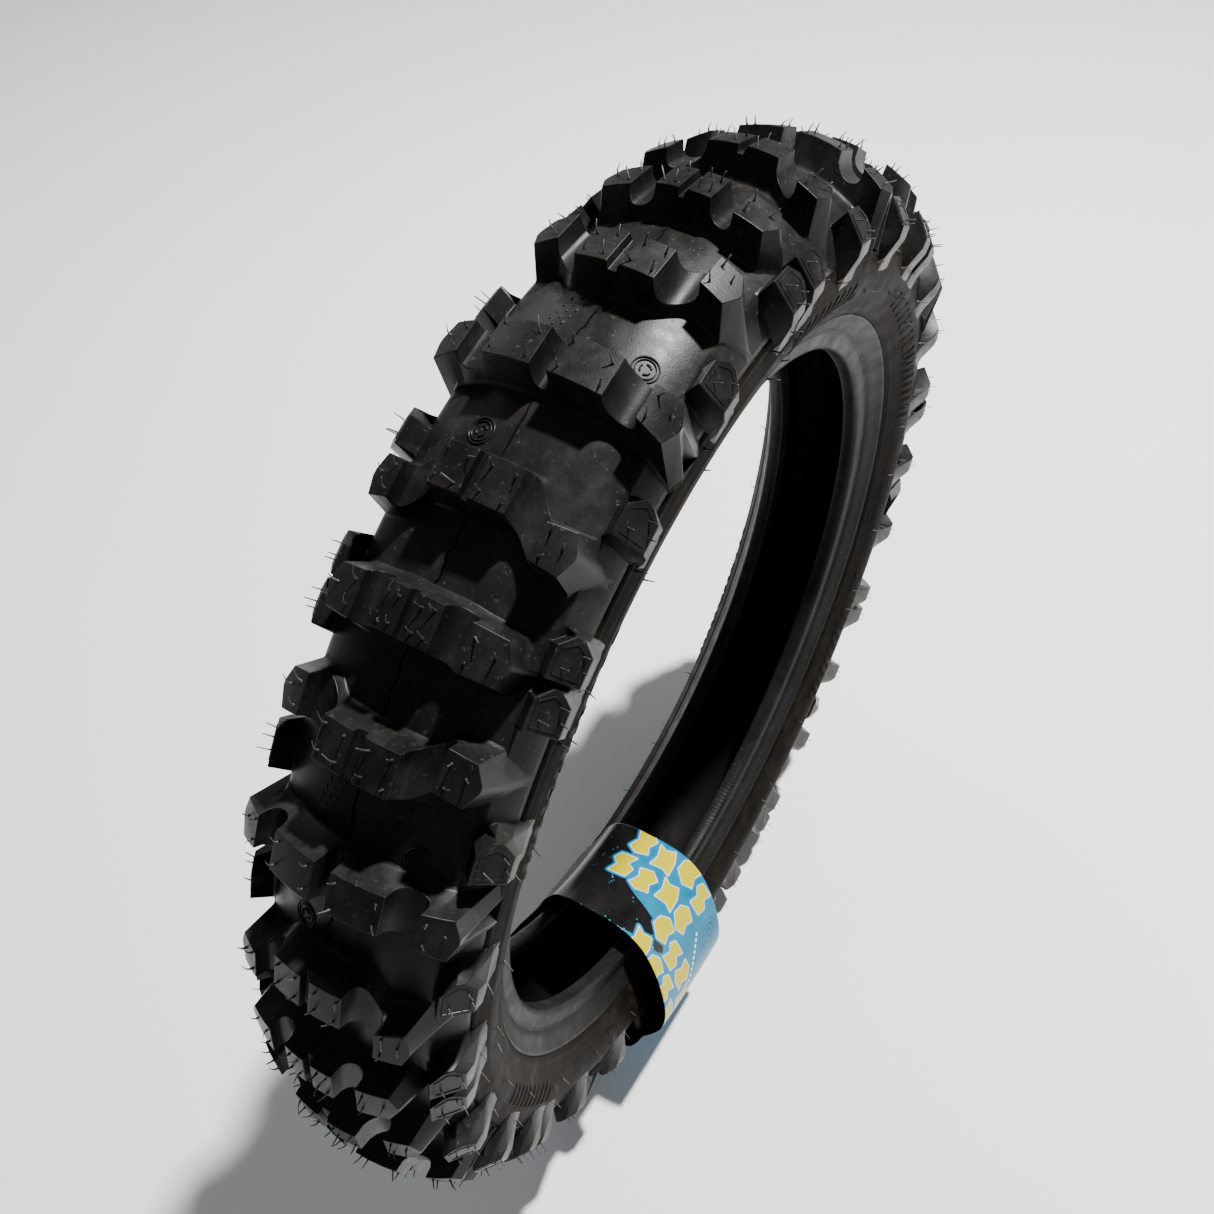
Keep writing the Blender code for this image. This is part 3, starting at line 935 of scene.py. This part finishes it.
def print_material():
    mat, nodes, links, shader = new_material("printed_card")
    place = attribute(nodes, "place", "Vector")
    shapes = attribute(nodes, "shapes")
    field = attribute(nodes, "field")
    swirl = attribute(nodes, "swirl")
    dots = attribute(nodes, "dots")
    cloud = noise(nodes, links, place, 45.0, 4.0, 0.6)
    cyan = ramp(nodes, links, cloud, (0.35, CYAN[0]), (0.70, CYAN[1]))
    rings = maths(nodes, links, "SINE", maths(nodes, links, "MULTIPLY", swirl, 1500.0))
    ring_mask = maths(nodes, links, "MULTIPLY", below(nodes, links, swirl, SWIRL_RADIUS, 0.002),
                      ramp(nodes, links, rings, (0.40, 0.0), (0.70, 0.80)))
    cyan = mix(nodes, links, ring_mask, cyan, CYAN_RING)
    black = ramp(nodes, links, cloud, (0.30, BLACK[0]), (0.75, BLACK[1]))
    black = mix(nodes, links, droplets(nodes, links, place, field), black, CYAN_DROP)
    colour = mix(nodes, links, below(nodes, links, field, 0.0), black, cyan)
    colour = mix(nodes, links, below(nodes, links, shapes, HALO), colour, CYAN_HALO)
    colour = mix(nodes, links, below(nodes, links, shapes, WHITE_EDGE), colour, WHITE)
    colour = mix(nodes, links, below(nodes, links, shapes, 0.0), colour, YELLOW)
    colour = mix(nodes, links, below(nodes, links, dots, 0.0), colour, WHITE_DOT)
    links.new(colour, shader.inputs["Base Color"])
    gloss = ramp(nodes, links, cloud, (0.3, 0.16), (0.8, 0.30))
    links.new(gloss, shader.inputs["Roughness"])
    shader.inputs["Specular IOR Level"].default_value = 0.12
    shader.inputs["Coat Weight"].default_value = 0.08
    shader.inputs["Coat Roughness"].default_value = 0.10
    bump(nodes, links, shader, noise(nodes, links, place, 90.0, 3.0), 0.12, 0.0006)
    return mat


# Setting

LENS = 31.218               # on a sensor 36 mm wide
CAMERA_AT = -0.35267, -0.20330, 0.58403
CAMERA_BACK = -0.50776, -0.35547, 0.78474   # away from what it looks at
CAMERA_UP = 0.68612, 0.38400, 0.61789
FLOOR_HALF = 6.0


def look(location, back, up):
    back = Vector(back).normalized()
    right = Vector(up).cross(back).normalized()
    true_up = back.cross(right)
    m = Matrix((right, true_up, back)).transposed().to_4x4()
    m.translation = Vector(location)
    return m


def camera():
    data = bpy.data.cameras.new("camera")
    data.lens = LENS
    data.sensor_width = 36.0
    data.clip_start = 0.01
    cam = bpy.data.objects.new("camera", data)
    bpy.context.scene.collection.objects.link(cam)
    cam.matrix_world = look(CAMERA_AT, CAMERA_BACK, CAMERA_UP)
    bpy.context.scene.camera = cam


def area_light(name, location, target, size, power, colour=(1.0, 1.0, 1.0)):
    data = bpy.data.lights.new(name, "AREA")
    data.shape = "DISK"
    data.size = size
    data.energy = power
    data.color = colour
    light = bpy.data.objects.new(name, data)
    bpy.context.scene.collection.objects.link(light)
    light.matrix_world = look(location, Vector(location) - Vector(target), (0.0, 0.0, 1.0))


def pale_floor():
    mat, nodes, links, shader = new_material("floor")
    cloud = noise(nodes, links, object_vector(nodes), 3.0)
    pale = ramp(nodes, links, cloud, (0.2, (0.88, 0.88, 0.87)), (0.8, (0.90, 0.90, 0.89)))
    links.new(pale, shader.inputs["Base Color"])
    shader.inputs["Roughness"].default_value = 0.85
    low = CAD_BOX[0][2]
    corners = (-1, -1), (1, -1), (1, 1), (-1, 1)
    verts = [(x * FLOOR_HALF, y * FLOOR_HALF, low) for x, y in corners]
    make("floor", verts, [(0, 1, 2, 3)], mat, smooth=False)


def studio():
    world = bpy.data.worlds.new("studio")
    world.use_nodes = True
    sky = world.node_tree.nodes["Background"]
    sky.inputs["Color"].default_value = (0.90, 0.93, 1.0, 1.0)
    sky.inputs["Strength"].default_value = 0.20
    bpy.context.scene.world = world
    middle = 0.0, 0.0, 0.0
    area_light("key", (1.12, -0.40, 2.34), middle, 0.14, 225.0, (1.0, 0.98, 0.95))
    area_light("side", (0.8, 1.6, 1.2), middle, 0.9, 6.0)
    area_light("fill", (-1.6, -0.9, 0.9), middle, 1.4, 0.5)
    area_light("low", (0.15, -0.85, -0.12), (-0.05, -0.05, -0.28), 0.5, 1.0)


# Assembly

def dress_hidden_layers():
    """Sealed layers keep their own shape and get a material of rubbered cord, gum or wire."""
    looks = {
        "ply_fabric": plain(
            "cord_fabric", (0.050, 0.042, 0.032), (0.075, 0.064, 0.050), 0.75, 0.0, 220.0),
        "cushion_rubber": plain(
            "cushion_gum", (0.028, 0.027, 0.026), (0.045, 0.043, 0.040), 0.70),
        "bead_wire": plain(
            "bronze_wire", (0.50, 0.36, 0.20), (0.66, 0.52, 0.34), 0.30, 1.0, 160.0),
    }
    slots = {s["node"]: s["material_slot"] for s in frame["record"]["subparts"]}
    for node, obj in frame["nodes"].items():
        if slots[node] in looks:
            obj.data.materials.clear()
            obj.data.materials.append(looks[slots[node]])


def stand_for(pieces, body, slot, *nodes):
    for piece in pieces:
        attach(piece, body)
        if nodes:
            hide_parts(*nodes)


def main():
    camera()
    tread_mat = rubber("tread_rubber_dusty", (0.0040, 0.0040, 0.0040), (0.0125, 0.0122, 0.0116),
                       (0.080, 0.075, 0.064), 0.16, 0.35, 0.12)
    # Sidewall rubber: its base colour, darker than the tread's, is painted shade on the sidewalls;
    # the brown patches are real dust.
    side_mat_painted_shade = rubber("side_rubber_dusty_painted_shade", (0.0025, 0.0023, 0.0020), (0.0080, 0.0070, 0.0052),
                      (0.050, 0.036, 0.020), 0.30, 0.50, 0.02)
    bead_mat = rubber("bead_rubber_smooth", (0.0045, 0.0046, 0.0047), (0.0110, 0.0113, 0.0117),
                      (0.085, 0.074, 0.058), 0.05, 0.38, 0.045)
    liner_mat = rubber("liner_rubber_dark", (0.002, 0.002, 0.002), (0.004, 0.004, 0.0037),
                       (0.008, 0.008, 0.007), 0.05, 0.50, 0.04)
    hair_mat = plain("hair_rubber", (0.016, 0.016, 0.016), (0.050, 0.048, 0.045), 0.40)
    stand_for(tread(tread_mat), "tyre", "tread_rubber", "tread")
    stand_for([moulding_marks(tread_mat), parting_line()], "tyre", "tread_rubber")
    stand_for([vent_hairs(hair_mat)], "tyre", "tread_rubber")
    for side in (1, -1):
        name = side_name(side)
        stand_for([sidewall(side, side_mat_painted_shade)], "tyre", "sidewall_rubber", "sidewall_" + name)
        stand_for([badge_blocks(side, side_mat_painted_shade)], "tyre", "sidewall_rubber")
        stand_for([bead(side, bead_mat)], "tyre", "bead_rubber", "chafer_" + name)
    stand_for([liner(liner_mat)], "tyre", "liner_rubber", "inner_liner")
    stand_for([printed_band(print_material())], "wrap_band", "wrap_card", "wrap_label")
    dress_hidden_layers()
    pale_floor()
    studio()


main()
